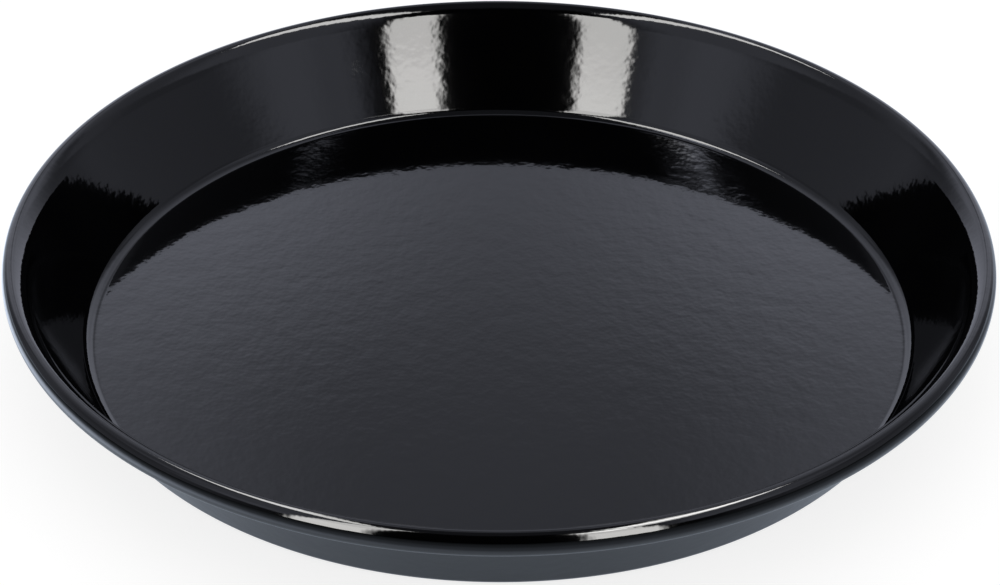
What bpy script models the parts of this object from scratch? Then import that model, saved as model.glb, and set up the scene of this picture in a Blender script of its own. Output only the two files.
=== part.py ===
# Quiche pan of enamelled steel: one deep-drawn sheet with a rolled rim, and its fired coats of enamel.
# Units are metres and +Z is up. The origin is the centre of the underside, on the plane the pan stands on.
# Depth is measured through the wall, from the finished food side towards the underside.

import math

import bpy

# Sizes of the finished pan
RIM_DIAMETER = 0.280
PAN_HEIGHT = 0.032
WALL_LEAN = math.radians(28.4)
CORNER_RADIUS = 0.0040
FLARE_RADIUS = 0.0125
FLARE_TOP_ANGLE = math.radians(118.5)
ROLL_WIDTH = 0.0052
ROLL_HEIGHT = 0.0072
ROLL_MOUTH = 0.0007

# Layers of the wall. The coats are fused to the sheet; the hairline keeps each layer a solid of its own.
STEEL_THICKNESS = 0.00070
GROUND_COAT_THICKNESS = 0.00010
COVER_COAT_THICKNESS = 0.00015
HAIRLINE = 0.00001

# Fineness of the turned shapes
TURN_STEPS = 56
CORNER_STEPS = 3
FLARE_STEPS = 2
ROLL_STEP_ANGLE = math.radians(31.0)
MERGE_DISTANCE = 0.000001

# Depths of each layer's two faces, counted down from the finished food side
INSIDE_COVER_TOP = 0.0
INSIDE_COVER_BACK = INSIDE_COVER_TOP + COVER_COAT_THICKNESS
INSIDE_GROUND_TOP = INSIDE_COVER_BACK + HAIRLINE
INSIDE_GROUND_BACK = INSIDE_GROUND_TOP + GROUND_COAT_THICKNESS
STEEL_TOP = INSIDE_GROUND_BACK + HAIRLINE
STEEL_BACK = STEEL_TOP + STEEL_THICKNESS
OUTSIDE_GROUND_TOP = STEEL_BACK + HAIRLINE
OUTSIDE_GROUND_BACK = OUTSIDE_GROUND_TOP + GROUND_COAT_THICKNESS
OUTSIDE_COVER_TOP = OUTSIDE_GROUND_BACK + HAIRLINE
OUTSIDE_COVER_BACK = OUTSIDE_COVER_TOP + COVER_COAT_THICKNESS
WALL_THICKNESS = OUTSIDE_COVER_BACK

# Where the coats lie beyond the cut edge of the sheet, inside the roll
GROUND_START = HAIRLINE
GROUND_REACH = GROUND_START + GROUND_COAT_THICKNESS
COVER_START = GROUND_REACH + HAIRLINE
COVER_REACH = COVER_START + COVER_COAT_THICKNESS

# The roll's section is an oval
ROLL_HALF_WIDTH = ROLL_WIDTH / 2
ROLL_HALF_HEIGHT = ROLL_HEIGHT / 2
ROLL_CENTRE_RADIUS = RIM_DIAMETER / 2 - ROLL_HALF_WIDTH
ROLL_CENTRE_HEIGHT = PAN_HEIGHT - ROLL_HALF_HEIGHT


def roll_station(angle):
    """Point and outward normal of the roll's oval; 90 degrees is its top and 0 its outermost point."""
    normal_r = math.cos(angle) / ROLL_HALF_WIDTH
    normal_z = math.sin(angle) / ROLL_HALF_HEIGHT
    length = math.hypot(normal_r, normal_z)
    return (ROLL_CENTRE_RADIUS + ROLL_HALF_WIDTH * math.cos(angle),
            ROLL_CENTRE_HEIGHT + ROLL_HALF_HEIGHT * math.sin(angle),
            normal_r / length,
            normal_z / length)


def at_depth(station, depth, past=0.0):
    """The point at a depth below a station's face, moved on along the section by the length past."""
    radius, height, normal_r, normal_z = station
    return (radius - depth * normal_r + past * normal_z,
            height - depth * normal_z - past * normal_r)


# The top of the wall flares outwards on an arc, which meets the wall and the roll's oval without a kink
FLARE_TOP = roll_station(FLARE_TOP_ANGLE)
FLARE_TOP_LEAN = math.atan2(FLARE_TOP[3], -FLARE_TOP[2])
FLARE_CENTRE = at_depth(FLARE_TOP, FLARE_RADIUS)


def flare_station(lean):
    """Point and outward normal of the flare's arc, where the arc stands at this lean."""
    normal_r = -math.cos(lean)
    normal_z = math.sin(lean)
    return (FLARE_CENTRE[0] + FLARE_RADIUS * normal_r,
            FLARE_CENTRE[1] + FLARE_RADIUS * normal_z,
            normal_r,
            normal_z)


WALL_TOP = flare_station(WALL_LEAN)


def off_wall(radius, height):
    """Distance from a point in the roll to the outside of the straight wall, or of the flare above it."""
    out = radius - WALL_TOP[0]
    up = height - WALL_TOP[1]
    if out * WALL_TOP[3] - up * WALL_TOP[2] > 0.0:
        return FLARE_RADIUS - WALL_THICKNESS - math.dist((radius, height), FLARE_CENTRE)
    return -(out * WALL_TOP[2] + up * WALL_TOP[3]) - WALL_THICKNESS


def clear_of_wall(angle):
    """Least distance from the finished cut edge to the outside of the wall, with the roll ending here."""
    edge_corners = [at_depth(roll_station(angle), depth, COVER_REACH) for depth in (0.0, WALL_THICKNESS)]
    return min(off_wall(radius, height) for radius, height in edge_corners)


def roll_end_angle():
    """The angle at which the finished cut edge leaves the roll's mouth open by ROLL_MOUTH."""
    open_angle = -math.pi / 2
    shut_angle = -math.pi
    for _ in range(40):
        middle = (open_angle + shut_angle) / 2
        if clear_of_wall(middle) > ROLL_MOUTH:
            open_angle = middle
        else:
            shut_angle = middle
    return open_angle


def spread(first, last, steps):
    """Evenly spaced values after first, up to and with last."""
    return [first + (last - first) * step / steps for step in range(1, steps + 1)]


def corner_stations():
    """The rounded corner between the floor and the wall, from the floor's flat edge up."""
    centre_height = WALL_THICKNESS + CORNER_RADIUS
    centre_radius = (WALL_TOP[0] - (WALL_TOP[1] - centre_height) * math.tan(WALL_LEAN)
                     - CORNER_RADIUS / math.cos(WALL_LEAN))
    bend = math.pi / 2 - WALL_LEAN
    stations = []
    for angle in [0.0] + spread(0.0, bend, CORNER_STEPS):
        stations.append((centre_radius + CORNER_RADIUS * math.sin(angle),
                         centre_height - CORNER_RADIUS * math.cos(angle),
                         -math.sin(angle),
                         math.cos(angle)))
    return stations


def flare_stations():
    """The flare, from the top of the straight wall to the roll."""
    leans = [WALL_LEAN] + spread(WALL_LEAN, FLARE_TOP_LEAN, FLARE_STEPS)
    return [flare_station(lean) for lean in leans]


def roll_stations():
    """The roll, from the flare over the rim and under to the cut edge of the sheet."""
    stations = []
    angle = FLARE_TOP_ANGLE
    for stop in (math.pi / 2, 0.0, -math.pi / 2, roll_end_angle()):
        steps = math.ceil((angle - stop) / ROLL_STEP_ANGLE)
        stations += [roll_station(value) for value in spread(angle, stop, steps)]
        angle = stop
    return stations


# The finished food side from the middle of the floor to the cut edge
SECTION = [(0.0, WALL_THICKNESS, 0.0, 1.0)] + corner_stations() + flare_stations() + roll_stations()


def face(depth, past_edge=0.0):
    """The section's line at a depth, from the axis to the cut edge, and on past it where a coat does."""
    line = [at_depth(station, depth) for station in SECTION]
    if past_edge > 0.0:
        line.append(at_depth(SECTION[-1], depth, past_edge))
    return line


def edge_points(depths, past_edge):
    """Points across the cut edge, at the depths given."""
    return [at_depth(SECTION[-1], depth, past_edge) for depth in depths]


def new_material(name, colour, roughness, metallic):
    material = bpy.data.materials.new(name)
    material.use_nodes = True
    shader = material.node_tree.nodes["Principled BSDF"]
    shader.inputs["Base Color"].default_value = (*colour, 1.0)
    shader.inputs["Roughness"].default_value = roughness
    shader.inputs["Metallic"].default_value = metallic
    return material


def turned(name, profile, material, collection):
    """A solid of revolution about Z from an open profile that starts and ends on the axis."""
    mesh = bpy.data.meshes.new(name)
    points = [(radius, 0.0, height) for radius, height in profile]
    edges = [(index, index + 1) for index in range(len(points) - 1)]
    mesh.from_pydata(points, edges, [])
    solid = bpy.data.objects.new(name, mesh)
    collection.objects.link(solid)
    solid.data.materials.append(material)
    screw = solid.modifiers.new("turn", "SCREW")
    screw.axis = "Z"
    screw.angle = 2 * math.pi
    screw.steps = TURN_STEPS
    screw.render_steps = TURN_STEPS
    screw.use_merge_vertices = True
    screw.merge_threshold = MERGE_DISTANCE
    screw.use_smooth_shade = True
    return solid


def make_steel_pan(collection):
    """The pressed blank: floor, wall and rolled rim in one sheet."""
    steel = new_material("pressed_steel", (0.42, 0.42, 0.43), 0.45, 1.0)
    profile = face(STEEL_TOP) + face(STEEL_BACK)[::-1]
    turned("steel_pan", profile, steel, collection)


def make_inside_ground_coat(collection):
    """The grip coat on the food side; it covers the rim and closes over the sheet's cut edge."""
    enamel = new_material("inside_ground_enamel", (0.010, 0.012, 0.022), 0.30, 0.0)
    profile = (face(INSIDE_GROUND_TOP, GROUND_REACH)
               + edge_points([STEEL_BACK], GROUND_REACH)
               + edge_points([STEEL_BACK, INSIDE_GROUND_BACK], GROUND_START)
               + face(INSIDE_GROUND_BACK)[::-1])
    turned("inside_ground_coat", profile, enamel, collection)


def make_inside_cover_coat(collection):
    """The glossy black coat on the food side, over the rim and round the cut edge."""
    enamel = new_material("inside_cover_enamel", (0.006, 0.006, 0.007), 0.06, 0.0)
    profile = (face(INSIDE_COVER_TOP, COVER_REACH)
               + edge_points([OUTSIDE_GROUND_BACK], COVER_REACH)
               + edge_points([OUTSIDE_GROUND_BACK], COVER_START)
               + face(INSIDE_COVER_BACK, COVER_START)[::-1])
    turned("inside_cover_coat", profile, enamel, collection)


def make_outside_ground_coat(collection):
    """The grip coat on the underside, the outer wall and the inside of the roll."""
    enamel = new_material("outside_ground_enamel", (0.010, 0.012, 0.022), 0.30, 0.0)
    profile = face(OUTSIDE_GROUND_TOP, GROUND_REACH) + face(OUTSIDE_GROUND_BACK, GROUND_REACH)[::-1]
    turned("outside_ground_coat", profile, enamel, collection)


def make_outside_cover_coat(collection):
    """The glossy black coat that the pan stands on, up the outer wall and into the roll."""
    enamel = new_material("outside_cover_enamel", (0.006, 0.006, 0.007), 0.07, 0.0)
    profile = face(OUTSIDE_COVER_TOP, COVER_REACH) + face(OUTSIDE_COVER_BACK, COVER_REACH)[::-1]
    turned("outside_cover_coat", profile, enamel, collection)


def main():
    for leftover in list(bpy.data.objects):
        bpy.data.objects.remove(leftover, do_unlink=True)
    collection = bpy.data.collections.new("quiche_pan")
    bpy.context.scene.collection.children.link(collection)
    make_steel_pan(collection)
    make_inside_ground_coat(collection)
    make_inside_cover_coat(collection)
    make_outside_ground_coat(collection)
    make_outside_cover_coat(collection)
    floor_diameter = 2 * SECTION[1][0]
    print("flat floor across, mm:", round(floor_diameter * 1000, 2))


main()
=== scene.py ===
import math

import bmesh
import bpy
from mathutils import Matrix, Vector


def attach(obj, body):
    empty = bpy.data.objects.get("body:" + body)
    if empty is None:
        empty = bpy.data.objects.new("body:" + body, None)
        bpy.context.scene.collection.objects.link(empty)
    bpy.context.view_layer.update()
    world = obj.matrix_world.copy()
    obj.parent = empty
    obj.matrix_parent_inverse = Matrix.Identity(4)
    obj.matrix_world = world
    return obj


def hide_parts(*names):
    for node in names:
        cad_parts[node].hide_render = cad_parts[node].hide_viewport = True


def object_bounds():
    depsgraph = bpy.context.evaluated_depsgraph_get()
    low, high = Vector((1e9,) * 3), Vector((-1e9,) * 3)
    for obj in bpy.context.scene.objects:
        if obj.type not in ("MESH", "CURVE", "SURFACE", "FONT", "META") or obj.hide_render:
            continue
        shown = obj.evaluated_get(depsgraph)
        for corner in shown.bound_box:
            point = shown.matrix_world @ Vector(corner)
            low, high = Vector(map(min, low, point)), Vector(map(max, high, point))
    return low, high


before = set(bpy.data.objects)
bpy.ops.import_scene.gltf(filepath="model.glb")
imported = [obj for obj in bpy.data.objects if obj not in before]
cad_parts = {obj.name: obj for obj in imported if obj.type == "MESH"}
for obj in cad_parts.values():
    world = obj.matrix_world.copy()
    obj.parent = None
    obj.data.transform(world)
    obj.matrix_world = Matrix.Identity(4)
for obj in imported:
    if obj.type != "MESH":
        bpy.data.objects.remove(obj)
cadLow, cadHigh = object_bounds()
print("frame loaded:", len(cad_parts), "nodes")

hair = 0.000001                      # keeps rounding inside the solids' own box
rimRadius = cadHigh.x - hair
panHeight = cadHigh.z

# the pressed sheet: metres, measured on the finished enamel
pressing = {
    "wallLean": math.radians(28.4),  # off upright
    "cornerRadius": 0.0040,          # food side, between floor and wall
    "flareRadius": 0.0125,           # food side, from the wall out to the roll
    "flareTop": math.radians(118.5),  # where the flare ends on the roll's oval
    "rollWidth": 0.0052,
    "rollHeight": 0.0072,
    "rollMouth": 0.0007,             # gap from the rolled edge back to the wall
    "turnSteps": 360,
    "cornerSteps": 16,
    "flareSteps": 10,
    "rollStep": math.radians(7.0),
    "flatRings": [0.25, 0.5, 0.75, 0.9, 0.97, 0.995],  # shares of a flat stretch, for flat shading
    "edgeTries": 40,                 # halvings in the search for the rolled edge
    "weld": 1e-7,
    "sharpFrom": math.radians(35),   # bends sharper than this show as an edge
}

# thicknesses from the food side to the underside
layers = {
    "coverCoat": 0.00015,
    "groundCoat": 0.00010,
    "steel": 0.00070,
    "hairline": 0.00001,             # between two layers
}

wallThickness = (layers["steel"] + 2 * layers["groundCoat"] + 2 * layers["coverCoat"]
                 + 4 * layers["hairline"])
insideCoverBack = layers["coverCoat"]
insideGroundTop = insideCoverBack + layers["hairline"]
insideGroundBack = insideGroundTop + layers["groundCoat"]
steelTop = insideGroundBack + layers["hairline"]
steelBack = steelTop + layers["steel"]
outsideGroundTop = steelBack + layers["hairline"]
outsideGroundBack = outsideGroundTop + layers["groundCoat"]
outsideCoverTop = outsideGroundBack + layers["hairline"]

# how far each coat runs on past the cut edge inside the roll
groundStart = layers["hairline"]
groundReach = groundStart + layers["groundCoat"]
coverStart = groundReach + layers["hairline"]
coverReach = coverStart + layers["coverCoat"]

rollHalfWidth = pressing["rollWidth"] / 2
rollHalfHeight = pressing["rollHeight"] / 2
rollRadius = rimRadius - rollHalfWidth
rollCentre = panHeight - rollHalfHeight


# a station is a point of the food side's outline with its outward normal: r, z, nr, nz
def rollStation(angle):
    across = math.cos(angle) / rollHalfWidth
    upwards = math.sin(angle) / rollHalfHeight
    length = math.hypot(across, upwards)
    return (rollRadius + rollHalfWidth * math.cos(angle),
            rollCentre + rollHalfHeight * math.sin(angle),
            across / length,
            upwards / length)


def below(station, depth, past=0.0):
    r, z, nr, nz = station
    return (r - depth * nr + past * nz, z - depth * nz - past * nr)


flareTop = rollStation(pressing["flareTop"])
flareTopLean = math.atan2(flareTop[3], -flareTop[2])
flareCentre = below(flareTop, pressing["flareRadius"])


def flareStation(lean):
    nr, nz = -math.cos(lean), math.sin(lean)
    return (flareCentre[0] + pressing["flareRadius"] * nr,
            flareCentre[1] + pressing["flareRadius"] * nz,
            nr,
            nz)


wallTop = flareStation(pressing["wallLean"])


def gapToWall(r, z):
    # from a point in the roll to the outside of the straight wall, or of the flare above it
    out, up = r - wallTop[0], z - wallTop[1]
    if out * wallTop[3] - up * wallTop[2] > 0.0:
        return pressing["flareRadius"] - wallThickness - math.dist((r, z), flareCentre)
    return -(out * wallTop[2] + up * wallTop[3]) - wallThickness


def rollEndAngle():
    # where the finished rolled edge comes as close to the wall as the mouth is wide
    openAngle, shutAngle = -math.pi / 2, -math.pi
    for halving in range(pressing["edgeTries"]):
        middle = (openAngle + shutAngle) / 2
        station = rollStation(middle)
        corners = [below(station, depth, coverReach) for depth in (0.0, wallThickness)]
        if min(gapToWall(r, z) for r, z in corners) > pressing["rollMouth"]:
            openAngle = middle
        else:
            shutAngle = middle
    return openAngle


def evenly(first, last, steps):
    return [first + (last - first) * step / steps for step in range(1, steps + 1)]


def partWay(start, stop, share):
    return tuple(a + (b - a) * share for a, b in zip(start, stop))


def flatStretch(start, stop):
    # stations along a straight stretch, closer together towards its end
    return [partWay(start, stop, share) for share in pressing["flatRings"]]


def makeSection():
    lean = pressing["wallLean"]
    radius = pressing["cornerRadius"]
    cornerHeight = wallThickness + radius
    cornerAcross = (wallTop[0] - (wallTop[1] - cornerHeight) * math.tan(lean)
                    - radius / math.cos(lean))
    floorEdge = (cornerAcross, wallThickness, 0.0, 1.0)
    floorMiddle = (0.0, wallThickness, 0.0, 1.0)
    section = [floorMiddle] + flatStretch(floorMiddle, floorEdge) + [floorEdge]
    for angle in evenly(0.0, math.pi / 2 - lean, pressing["cornerSteps"]):
        section.append((cornerAcross + radius * math.sin(angle),
                        cornerHeight - radius * math.cos(angle),
                        -math.sin(angle),
                        math.cos(angle)))
    wallFoot = section[-1]
    # the wall's foot gets the closest of the rings too
    section += [partWay(wallFoot, wallTop, 1 - share) for share in pressing["flatRings"][:2:-1]]
    section += flatStretch(wallFoot, wallTop) + [wallTop]
    section += [flareStation(value) for value in evenly(lean, flareTopLean, pressing["flareSteps"])]
    angle = pressing["flareTop"]
    for stop in (math.pi / 2, 0.0, -math.pi / 2, rollEndAngle()):
        steps = math.ceil((angle - stop) / pressing["rollStep"])
        section += [rollStation(value) for value in evenly(angle, stop, steps)]
        angle = stop
    return section


section = makeSection()
print("section:", len(section), "stations, flat floor across, mm:",
      round(2000 * section[len(pressing["flatRings"]) + 1][0], 1))


def faceLine(depth, past=0.0):
    line = [below(station, depth) for station in section]
    if past > 0.0:
        line.append(below(section[-1], depth, past))
    return line


def edgeLine(depths, past):
    return [below(section[-1], depth, past) for depth in depths]


def turnedPiece(name, outline, material):
    # spins an open outline that starts and ends on the axis into a closed solid
    bm = bmesh.new()
    chain = [bm.verts.new((r, 0.0, z)) for r, z in outline]
    for first, second in zip(chain, chain[1:]):
        bm.edges.new((first, second))
    bmesh.ops.spin(bm, geom=bm.verts[:] + bm.edges[:], cent=(0, 0, 0), axis=(0, 0, 1),
                   angle=2 * math.pi, steps=pressing["turnSteps"], use_merge=True)
    bmesh.ops.remove_doubles(bm, verts=bm.verts, dist=pressing["weld"])
    bmesh.ops.recalc_face_normals(bm, faces=bm.faces)
    mesh = bpy.data.meshes.new(name)
    bm.to_mesh(mesh)
    bm.free()
    mesh.shade_smooth()
    mesh.set_sharp_from_angle(angle=pressing["sharpFrom"])
    piece = bpy.data.objects.new(name, mesh)
    bpy.context.scene.collection.objects.link(piece)
    mesh.materials.append(material)
    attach(piece, "root")
    return piece


class Wire:
    # a node's output that can be used in sums
    def __init__(self, tree, socket):
        self.tree = tree
        self.socket = socket

    def other(self, name):
        # another output of the same node
        return Wire(self.tree, self.socket.node.outputs[name])

    def sum(self, operation, first, second=0.0):
        return addNode(self.tree, "ShaderNodeMath", {"operation": operation}, {0: first, 1: second})

    def __add__(self, other):
        return self.sum("ADD", self, other)

    def __radd__(self, other):
        return self.sum("ADD", other, self)

    def __sub__(self, other):
        return self.sum("SUBTRACT", self, other)

    def __rsub__(self, other):
        return self.sum("SUBTRACT", other, self)

    def __mul__(self, other):
        return self.sum("MULTIPLY", self, other)

    def __rmul__(self, other):
        return self.sum("MULTIPLY", other, self)

    def __abs__(self):
        return self.sum("ABSOLUTE", self)

    def ramp(self, low, high, fromValue=0.0, toValue=1.0):
        # smooth step from one value to another
        return addNode(self.tree, "ShaderNodeMapRange", {"interpolation_type": "SMOOTHSTEP"},
                       {"Value": self, "From Min": low, "From Max": high,
                        "To Min": fromValue, "To Max": toValue})


def addNode(tree, kind, settings=None, sockets=None, output=0):
    node = tree.nodes.new(kind)
    for key, value in (settings or {}).items():
        setattr(node, key, value)
    for key, value in (sockets or {}).items():
        if isinstance(value, Wire):
            tree.links.new(value.socket, node.inputs[key])
        else:
            node.inputs[key].default_value = value
    return Wire(tree, node.outputs[output]) if node.outputs else None


def mixColours(tree, share, first, second):
    return addNode(tree, "ShaderNodeMix", {"data_type": "RGBA"},
                   {"Factor": share, 6: first, 7: second}, output=2)


def blend(share, first, second):
    return first + share * (second - first)


def inStages(along, first, stages):
    # starts at one value and goes over to the next one between two places, stage by stage
    value = first
    for start, end, nextValue in stages:
        value = blend(along.ramp(start, end), value, nextValue)
    return value


def noise(tree, place, size, detail=2.0):
    return addNode(tree, "ShaderNodeTexNoise", {},
                   {"Vector": place, "Scale": 1.0 / size, "Detail": detail})


def newMaterial(name):
    material = bpy.data.materials.new(name)
    material.use_nodes = True
    tree = material.node_tree
    tree.nodes.clear()
    place = addNode(tree, "ShaderNodeTexCoord", output=3)
    return material, tree, place


def finishMaterial(tree, sockets):
    surface = addNode(tree, "ShaderNodeBsdfPrincipled", {}, sockets)
    addNode(tree, "ShaderNodeOutputMaterial", {}, {"Surface": surface})


def bump(tree, height, depth, under=None):
    sockets = {"Height": height, "Distance": depth, "Strength": 1.0}
    if under is not None:
        sockets["Normal"] = under
    return addNode(tree, "ShaderNodeBump", {}, sockets)


# fired cover coat: glassy black with an orange peel in three layers: size, depth and noise detail
blackEnamel = {
    "black": (0.0003, 0.0003, 0.0004, 1),
    "blackLighter": (0.0007, 0.0007, 0.0009, 1),
    "cloudSize": 0.018,
    "cloudDetail": 3.0,
    "roughness": 0.045,
    "roughnessSpread": 0.020,
    "glassIor": 1.5,
    "swell": (0.009, 0.000034, 1.0),
    "peel": (0.0025, 0.000024, 1.2),
    "grain": (0.0010, 0.0000016, 1.0),
}

# dull spots left by the pins that the pan was fired on
firingPins = {
    "count": 3,
    "firstAt": math.radians(90),
    "fromAxis": 0.098,
    "radius": 0.0009,
    "edge": 0.0004,
    "dullness": 0.35,
    "hollow": 0.00003,
}


def pinSpots(tree, place):
    # 1 on a spot, 0 away from all of them
    spots = None
    for pin in range(firingPins["count"]):
        angle = firingPins["firstAt"] + 2 * math.pi * pin / firingPins["count"]
        centre = (firingPins["fromAxis"] * math.cos(angle),
                  firingPins["fromAxis"] * math.sin(angle), 0)
        away = addNode(tree, "ShaderNodeVectorMath", {"operation": "DISTANCE"},
                       {0: place, 1: centre}, output=1)
        spot = away.ramp(firingPins["radius"], firingPins["radius"] + firingPins["edge"], 1.0, 0.0)
        spots = spot if spots is None else spots + spot
    return spots


def makeBlackEnamel(name, fired=False):
    material, tree, place = newMaterial(name)
    cloud = noise(tree, place, blackEnamel["cloudSize"], blackEnamel["cloudDetail"])
    colour = mixColours(tree, cloud, blackEnamel["black"], blackEnamel["blackLighter"])
    rough = blackEnamel["roughness"] + blackEnamel["roughnessSpread"] * cloud
    normal = None
    for layer in ("swell", "peel", "grain"):
        size, depth, detail = blackEnamel[layer]
        normal = bump(tree, noise(tree, place, size, detail), depth, normal)
    if fired:
        spots = pinSpots(tree, place)
        rough = rough + firingPins["dullness"] * spots
        normal = bump(tree, 1.0 - spots, firingPins["hollow"], normal)
    finishMaterial(tree, {"Base Color": colour, "Roughness": rough,
                          "IOR": blackEnamel["glassIor"], "Normal": normal})
    return material


# ground coat under it: duller, blue-black and specked
groundEnamel = {
    "blueBlack": (0.004, 0.005, 0.011, 1),
    "speckGrey": (0.012, 0.013, 0.020, 1),
    "speckSize": 0.0012,
    "speckDetail": 4.0,
    "speckShare": 0.6,
    "cloudSize": 0.02,
    "cloudShare": 0.4,
    "speckDepth": 0.00001,
    "roughness": 0.25,
    "roughnessSpread": 0.2,
}


def makeGroundEnamel(name):
    material, tree, place = newMaterial(name)
    speck = noise(tree, place, groundEnamel["speckSize"], groundEnamel["speckDetail"])
    cloud = noise(tree, place, groundEnamel["cloudSize"])
    share = speck * groundEnamel["speckShare"] + cloud * groundEnamel["cloudShare"]
    colour = mixColours(tree, share, groundEnamel["blueBlack"], groundEnamel["speckGrey"])
    rough = groundEnamel["roughness"] + groundEnamel["roughnessSpread"] * speck
    finishMaterial(tree, {"Base Color": colour, "Roughness": rough,
                          "Normal": bump(tree, speck, groundEnamel["speckDepth"])})
    return material


# cold-rolled sheet, with the faint grain of rolling along X
rolledSteel = {
    "darker": (0.36, 0.36, 0.37, 1),
    "lighter": (0.46, 0.46, 0.47, 1),
    "grainSize": 0.0006,
    "grainDetail": 3.0,
    "grainStretch": 25.0,
    "grainDepth": 0.000004,
    "cloudSize": 0.03,
    "roughness": 0.3,
    "roughnessSpread": 0.25,
}


def makeRolledSteel(name):
    material, tree, place = newMaterial(name)
    stretched = addNode(tree, "ShaderNodeMapping", {},
                        {"Vector": place, "Scale": (1 / rolledSteel["grainStretch"], 1.0, 1.0)})
    grain = noise(tree, stretched, rolledSteel["grainSize"], rolledSteel["grainDetail"])
    cloud = noise(tree, place, rolledSteel["cloudSize"])
    colour = mixColours(tree, cloud, rolledSteel["darker"], rolledSteel["lighter"])
    rough = rolledSteel["roughness"] + rolledSteel["roughnessSpread"] * grain
    finishMaterial(tree, {"Base Color": colour, "Metallic": 1.0, "Roughness": rough,
                          "Normal": bump(tree, grain, rolledSteel["grainDepth"])})
    return material


insideBlack = makeBlackEnamel("insideBlackEnamel")
outsideBlack = makeBlackEnamel("outsideBlackEnamel", fired=True)
groundBlue = makeGroundEnamel("groundEnamel")
sheetSteel = makeRolledSteel("rolledSteel")
print("materials made")

steelPan = turnedPiece("pressed_steel_sheet", faceLine(steelTop) + faceLine(steelBack)[::-1],
                       sheetSteel)
insideGround = turnedPiece("inside_ground_enamel",
                           faceLine(insideGroundTop, groundReach)
                           + edgeLine([steelBack], groundReach)
                           + edgeLine([steelBack, insideGroundBack], groundStart)
                           + faceLine(insideGroundBack)[::-1],
                           groundBlue)
insideCover = turnedPiece("inside_black_enamel",
                          faceLine(0.0, coverReach)
                          + edgeLine([outsideGroundBack], coverReach)
                          + edgeLine([outsideGroundBack], coverStart)
                          + faceLine(insideCoverBack, coverStart)[::-1],
                          insideBlack)
outsideGround = turnedPiece("outside_ground_enamel",
                            faceLine(outsideGroundTop, groundReach)
                            + faceLine(outsideGroundBack, groundReach)[::-1],
                            groundBlue)
outsideCover = turnedPiece("outside_black_enamel",
                           faceLine(outsideCoverTop, coverReach)
                           + faceLine(wallThickness, coverReach)[::-1],
                           outsideBlack)
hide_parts("steel_pan")
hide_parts("inside_ground_coat")
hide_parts("inside_cover_coat")
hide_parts("outside_ground_coat")
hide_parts("outside_cover_coat")
print("pan made")

# pale table: white to the camera with a light shadow. The gloss sees it blue-grey with painted
# light and shade:
# a painted pool of light just round the pan and to its left, painted shade farther out in front,
# and painted light again behind.
table = {
    "size": 6.0,
    "drop": 0.0002,                      # just under the pan
    "seenColour": (0.25, 0.25, 0.25, 1),
    "seenGlow": 0.80,
    # the gloss sees the table light near the pan and near black past its foot: painted shade
    "mirroredColour": (0.62, 0.70, 0.80, 1),
    "farPaintedShade": (0.08, 0.09, 0.10, 1),
    "paintedLightTint": (0.74, 0.83, 1.0, 1),
    # dim painted light where the pan's own shade falls on the table
    "paintedLightInPanShade": 0.215,
    "footEdge": (0.146, 0.168),          # from the axis, where the pan's own shade ends
    "lightCentre": (-0.03, 0.03, 0.0),
    "lightGlow": 2.4,
    # how the painted pool of light dies away: from so far to so far from its centre, down to so
    # much
    "lightFall": [(0.158, 0.203, 0.45), (0.20, 0.26, 0.15), (0.25, 0.50, 0.0)],
    "behind": (0.0, 0.12),               # along Y, where the painted light behind begins
    "paintedLightBehind": 0.9,
}
bm = bmesh.new()
bmesh.ops.create_grid(bm, x_segments=1, y_segments=1, size=table["size"] / 2)
tableMesh = bpy.data.meshes.new("studioTable")
bm.to_mesh(tableMesh)
bm.free()
studioTable = bpy.data.objects.new("studioTable", tableMesh)
studioTable.location.z = -table["drop"]
bpy.context.scene.collection.objects.link(studioTable)
material, tree, place = newMaterial("paleTable")
toCamera = addNode(tree, "ShaderNodeLightPath")
inGloss = toCamera.other("Is Glossy Ray")
fromAxis = addNode(tree, "ShaderNodeVectorMath", {"operation": "LENGTH"}, {0: place}, output=1)
pastFoot = fromAxis.ramp(*table["footEdge"])
onTable = addNode(tree, "ShaderNodeSeparateXYZ", {}, {"Vector": place})
farBack = onTable.other("Y").ramp(*table["behind"])
fromLight = addNode(tree, "ShaderNodeVectorMath", {"operation": "DISTANCE"},
                    {0: place, 1: table["lightCentre"]}, output=1)
# painted light that only the gloss sees: a pool round its centre, paler behind, dim in the pan's
# shade
fall = inStages(fromLight, table["lightGlow"], table["lightFall"])
paintedLightStrength = blend(farBack, fall, table["paintedLightBehind"])
paintedLightStrength = blend(pastFoot, table["paintedLightInPanShade"], paintedLightStrength)
# painted shade: past the pan's foot the gloss sees the table near black
mirroredPaint = mixColours(tree, pastFoot, table["mirroredColour"], table["farPaintedShade"])
paintColour = mixColours(tree, inGloss, table["seenColour"], mirroredPaint)
paint = addNode(tree, "ShaderNodeBsdfDiffuse", {}, {"Color": paintColour})
cameraGlow = addNode(tree, "ShaderNodeEmission", {}, {"Strength": table["seenGlow"] * toCamera})
paintedLightGlow = addNode(tree, "ShaderNodeEmission", {},
                    {"Color": table["paintedLightTint"], "Strength": paintedLightStrength * inGloss})
glow = addNode(tree, "ShaderNodeAddShader", {}, {0: cameraGlow, 1: paintedLightGlow})
addNode(tree, "ShaderNodeOutputMaterial", {},
        {"Surface": addNode(tree, "ShaderNodeAddShader", {}, {0: paint, 1: glow})})
tableMesh.materials.append(material)
print("table made")

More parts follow.
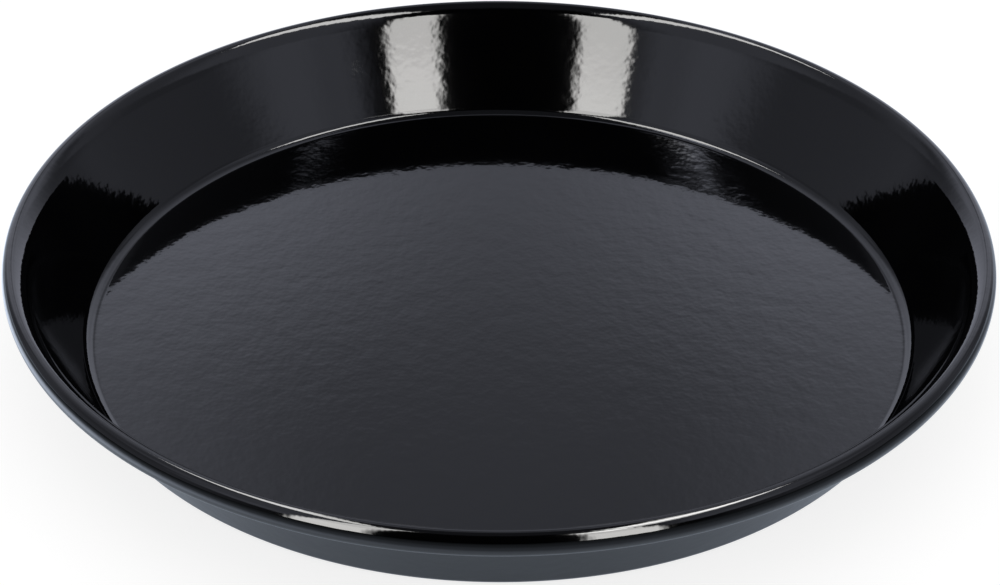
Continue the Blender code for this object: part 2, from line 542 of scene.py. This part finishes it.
# soft boxes that only the gloss shows, each with its centre, half width and half height
softBoxes = {
    "stripLeft": ((-0.279, -0.448, 0.504), (-0.087, 0.006, -0.003), (-0.014, 0.0, 0.465)),
    "stripRight": ((0.355, -0.767, 0.607), (-0.116, -0.034, 0.004), (0.021, 0.0, 0.657)),
    "overheadLeft": ((-0.457, -0.230, 1.366), (0.092, -0.028, 0.010), (0.226, 0.479, -0.779)),
    "overheadRight": ((0.722, -0.259, 1.840), (0.179, -0.037, 0.017), (0.123, 0.504, -0.192)),
    "frontRight": ((0.140, -0.277, 0.326), (-0.036, 0.005, 0.013), (-0.035, 0.179, -0.162)),
}
boxCloth = {
    "brightness": 12.0,
    "tint": (1.0, 0.99, 0.97),
    "fullTo": 0.68,                      # share of the half width, beyond which the cloth fades
    "edgeBrightness": 0.15,
    "lowerPart": 1.11,                   # the strips shine more below than above, and change over
    "upperPart": 0.93,                   # at these shares of their height
    "changeOver": {"stripLeft": (0.285, 0.345), "stripRight": (0.416, 0.438)},
}


def makeSoftBox(name, centre, half, up):
    centre, half, up = Vector(centre), Vector(half), Vector(up)
    facing = half.cross(up).normalized()
    if facing.dot(centre) < 0:
        facing = -facing                 # a lamp shines along -Z, so Z points away from the pan
    across = up.cross(facing).normalized()
    data = bpy.data.lights.new(name, "AREA")
    data.shape = "RECTANGLE"
    data.size = 2 * half.length
    data.size_y = 2 * up.length
    data.energy = boxCloth["brightness"] * math.pi * data.size * data.size_y
    data.color = boxCloth["tint"]
    data.use_nodes = True
    tree = data.node_tree
    tree.nodes.clear()
    onCloth = addNode(tree, "ShaderNodeNewGeometry").other("Parametric")
    sideways = addNode(tree, "ShaderNodeSeparateXYZ", {}, {"Vector": onCloth})
    fade = abs(2.0 * sideways - 1.0).ramp(boxCloth["fullTo"], 1.0, 1.0, boxCloth["edgeBrightness"])
    if name in boxCloth["changeOver"]:
        changeOver = boxCloth["changeOver"][name]
        fade = fade * sideways.other("Y").ramp(*changeOver, boxCloth["lowerPart"],
                                               boxCloth["upperPart"])
    addNode(tree, "ShaderNodeOutputLight", {},
            {"Surface": addNode(tree, "ShaderNodeEmission", {}, {"Strength": fade})})
    lamp = bpy.data.objects.new(name, data)
    turn = Matrix((across, up.normalized(), facing)).transposed().to_4x4()
    lamp.matrix_world = Matrix.Translation(centre) @ turn
    lamp.visible_camera = False
    lamp.visible_diffuse = False
    bpy.context.scene.collection.objects.link(lamp)


for name, (centre, half, up) in softBoxes.items():
    makeSoftBox(name, centre, half, up)
print("soft boxes hung:", len(softBoxes))

# studio as the gloss shows it: screens round the pan at three heights, left and right alike.
# Each height has its brightness straight behind the pan and then, going round, the headings
# in degrees between which the next screen takes over, and that screen's brightness.
studioRoom = {
    "tint": (0.93, 0.97, 1.15, 1),
    "leftLighter": 0.03,
    "low": (0.37, [(2, 11, 1.08), (26, 51, 0.24), (54, 66, 0.36), (104, 145, 0.0)]),
    "middle": (0.72, [(0, 8, 1.22), (12, 22, 1.04), (34, 49, 0.30), (50, 56, 0.42),
                      (62, 80, 0.31), (98, 123, 0.86), (126, 134, 0.74), (137, 149, 0.0)]),
    "high": (0.46, [(3, 12, 0.86), (20, 70, 0.44), (76, 96, 0.67), (130, 152, 0.0)]),
    "ceiling": 0.12,
    "lowToMiddle": (17.0, 21.0),         # degrees up at which one height turns into the next
    "middleToHigh": (31.2, 36.8),
    "highToCeiling": (63.0, 70.0),
    # mirrored twice: the first mirror polarises the light and a second one turned across stops it
    "twiceMirrored": (1.2, [(0, 7, 0.3), (6, 14, 0.12)]),
    "onceAtMost": 1.5,                   # a glossy depth between one mirror and two
    # slim lamps high up: degrees right and up, half length, half width, slant, brightness
    "highLamps": [(-51.0, 68.2, 9.0, 1.5, 0.46, 8.0), (54.0, 70.3, 7.0, 1.0, -0.33, 2.5)],
    # and those that only light mirrored twice finds, in the pan's dark crescent
    "crescentLamps": [(-64.9, 67.7, 8.3, 1.8, 0.23, 8.5), (71.0, 69.2, 10.5, 2.0, -0.22, 3.2)],
    "lampEdge": (0.6, 1.4),              # shares of the half sizes over which a slim lamp fades
}
world = bpy.data.worlds.new("studioRoom")
bpy.context.scene.world = world
world.use_nodes = True
tree = world.node_tree
tree.nodes.clear()
inGloss = addNode(tree, "ShaderNodeLightPath").other("Is Glossy Ray")
mirrored = inGloss.other("Glossy Depth")
direction = addNode(tree, "ShaderNodeTexCoord")
towardsRight = addNode(tree, "ShaderNodeSeparateXYZ", {}, {"Vector": direction})
heading = addNode(tree, "ShaderNodeMath", {"operation": "ARCTAN2"},
                  {0: towardsRight, 1: towardsRight.other("Y")}) * math.degrees(1)
upwards = addNode(tree, "ShaderNodeMath", {"operation": "ARCSINE"},
                  {0: towardsRight.other("Z")}) * math.degrees(1)
aside = abs(heading)


def slimLamp(right, up, halfLength, halfWidth, slant, brightness):
    along = heading - right
    offAlong = abs(along) * (1 / halfLength)
    offAcross = abs(upwards - up + slant * along) * (1 / halfWidth)
    insideLength = offAlong.ramp(*studioRoom["lampEdge"], 1.0, 0.0)
    insideWidth = offAcross.ramp(*studioRoom["lampEdge"], 1.0, 0.0)
    return brightness * insideLength * insideWidth


level = inStages(aside, *studioRoom["low"])
middleLevel = inStages(aside, *studioRoom["middle"])
highLevel = inStages(aside, *studioRoom["high"])
level = blend(upwards.ramp(*studioRoom["lowToMiddle"]), level, middleLevel)
level = blend(upwards.ramp(*studioRoom["middleToHigh"]), level, highLevel)
level = blend(upwards.ramp(*studioRoom["highToCeiling"]), level, studioRoom["ceiling"])
level = level * (1.0 - studioRoom["leftLighter"] * towardsRight)
again = addNode(tree, "ShaderNodeMath", {"operation": "GREATER_THAN"},
                {0: mirrored, 1: studioRoom["onceAtMost"]})
level = blend(again, level, level * inStages(aside, *studioRoom["twiceMirrored"]))
for lamp in studioRoom["highLamps"]:
    level = level + slimLamp(*lamp)
for lamp in studioRoom["crescentLamps"]:
    level = level + again * slimLamp(*lamp)
tinted = addNode(tree, "ShaderNodeBackground", {},
                 {"Color": studioRoom["tint"], "Strength": level})
plain = addNode(tree, "ShaderNodeBackground", {}, {"Color": (1, 1, 1, 1), "Strength": 1.0})
addNode(tree, "ShaderNodeOutputWorld", {},
        {"Surface": addNode(tree, "ShaderNodeMixShader", {}, {0: inGloss, 1: plain, 2: tinted})})
print("studio room made")

# the photograph's viewpoint
viewpoint = {
    "place": (0.000292, -0.674117, 0.459956),
    "down": math.radians(33.71),
    "roll": math.radians(0.17),
    "lens": 101.27,
    "sensor": 36.0,
    "nearest": 0.01,
}
cameraData = bpy.data.cameras.new("photoCamera")
cameraData.lens = viewpoint["lens"]
cameraData.sensor_width = viewpoint["sensor"]
cameraData.clip_start = viewpoint["nearest"]
camera = bpy.data.objects.new("photoCamera", cameraData)
bpy.context.scene.collection.objects.link(camera)
pitch = Matrix.Rotation(math.pi / 2 - viewpoint["down"], 4, "X")
roll = Matrix.Rotation(viewpoint["roll"], 4, "Z")
camera.matrix_world = Matrix.Translation(viewpoint["place"]) @ pitch @ roll
bpy.context.scene.camera = camera
bpy.context.scene.view_settings.view_transform = "Standard"
print("camera set")
